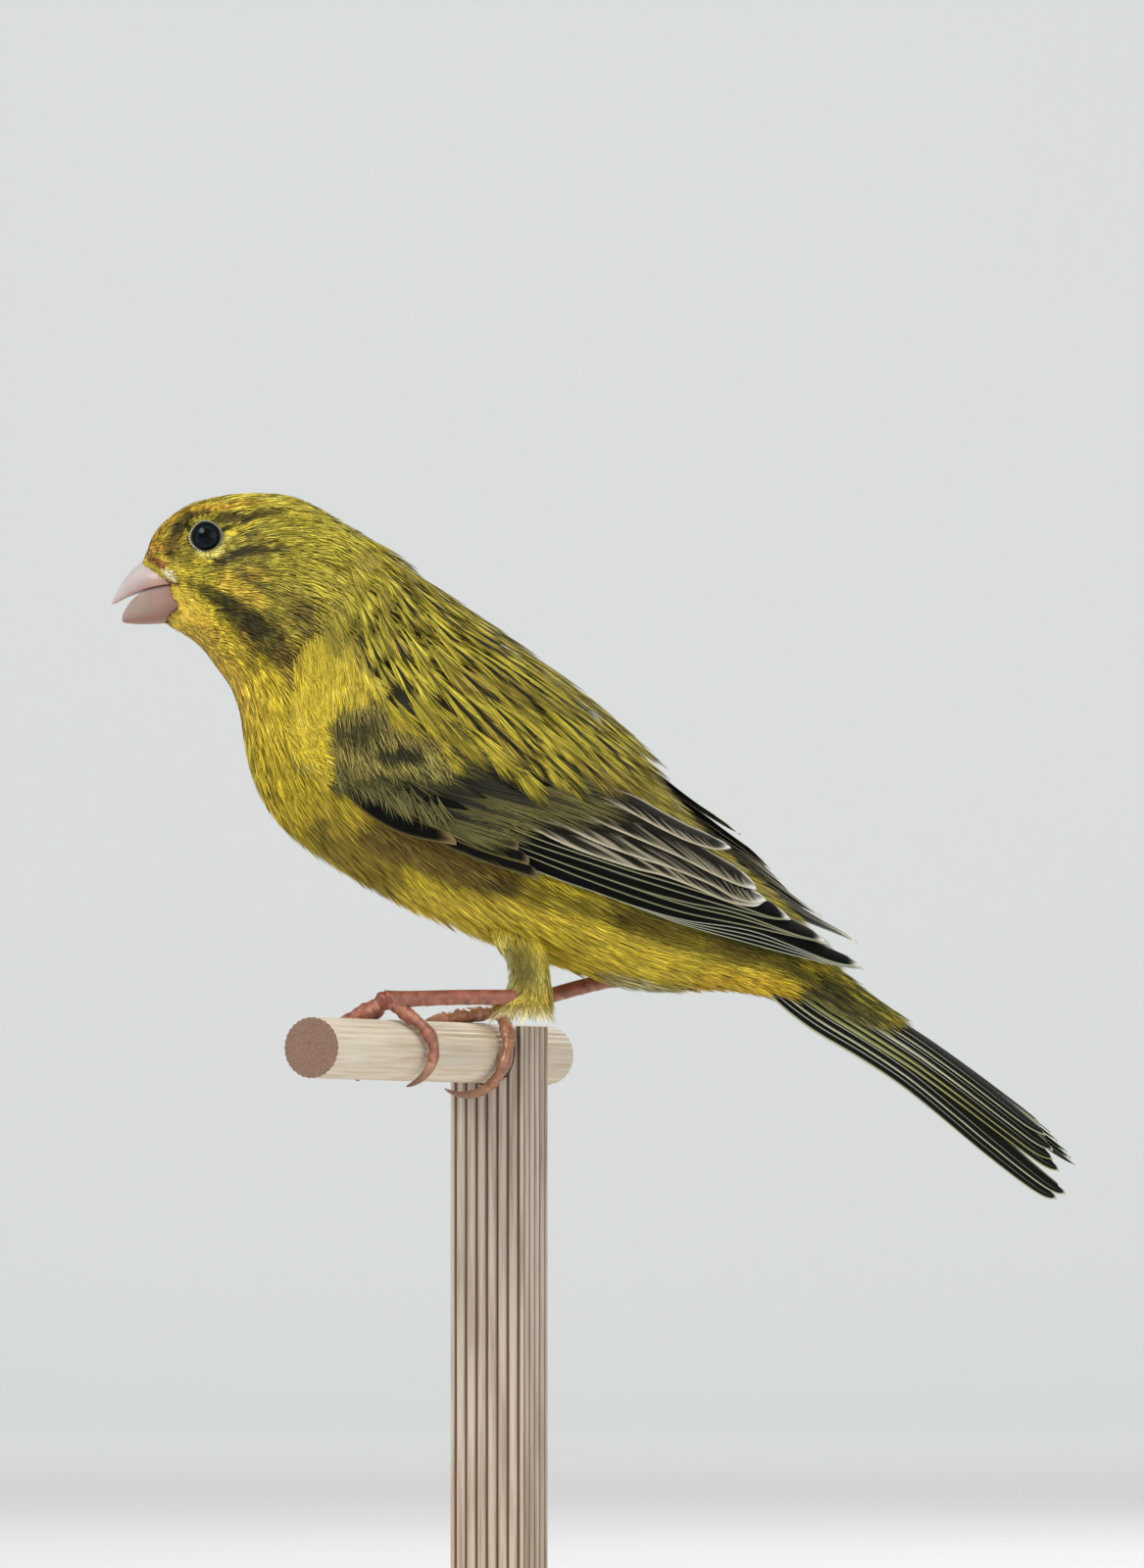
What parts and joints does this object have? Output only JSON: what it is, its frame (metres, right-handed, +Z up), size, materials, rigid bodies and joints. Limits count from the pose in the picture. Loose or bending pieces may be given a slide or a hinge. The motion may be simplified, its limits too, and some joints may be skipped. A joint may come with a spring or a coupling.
{
  "type": "canary",
  "caption": "Life-size canary in yellow-green plumage, leaning forward and gripping a round wooden perch held by a fluted post on a flat turned base.",
  "frame": {"origin": "centre of the bounding box at the underside of the stand's base", "axes": "-X the way the bird faces, -Y the bird's left side, +Z up"},
  "size_m": [0.1216, 0.084, 0.1498],
  "materials": {
    "green_plumage": "soft, satin feathers with fine dark streaks",
    "dark_plumage": "satin flight feathers with pale edges",
    "yellow_plumage": "soft, downy feathers",
    "bill_horn": "smooth, slightly translucent horn",
    "eye": "wet gloss",
    "leg_skin": "scaled skin with a slight sheen",
    "claw_horn": "smooth horn",
    "pale_wood": "bare, fluted softwood",
    "base_wood": "bare, lightly sealed wood"
  },
  "bodies": {
    "root": {"head": "green_plumage", "neck": "green_plumage", "trunk": "green_plumage", "wing_left": "dark_plumage", "wing_right": "dark_plumage", "tail": "dark_plumage", "thigh_left": "yellow_plumage", "thigh_right": "yellow_plumage", "bill_upper": "bill_horn", "bill_lower": "bill_horn", "eye_left": "eye", "eye_right": "eye", "leg_left": "leg_skin", "leg_right": "leg_skin", "foot_left": "leg_skin", "foot_right": "leg_skin", "claw_hallux_left": "claw_horn", "claw_hallux_right": "claw_horn", "claw_inner_left": "claw_horn", "claw_inner_right": "claw_horn", "claw_middle_left": "claw_horn", "claw_middle_right": "claw_horn", "claw_outer_left": "claw_horn", "claw_outer_right": "claw_horn", "perch_dowel": "pale_wood", "stand_post": "pale_wood", "stand_base": "base_wood"}
  },
  "joints": []
}
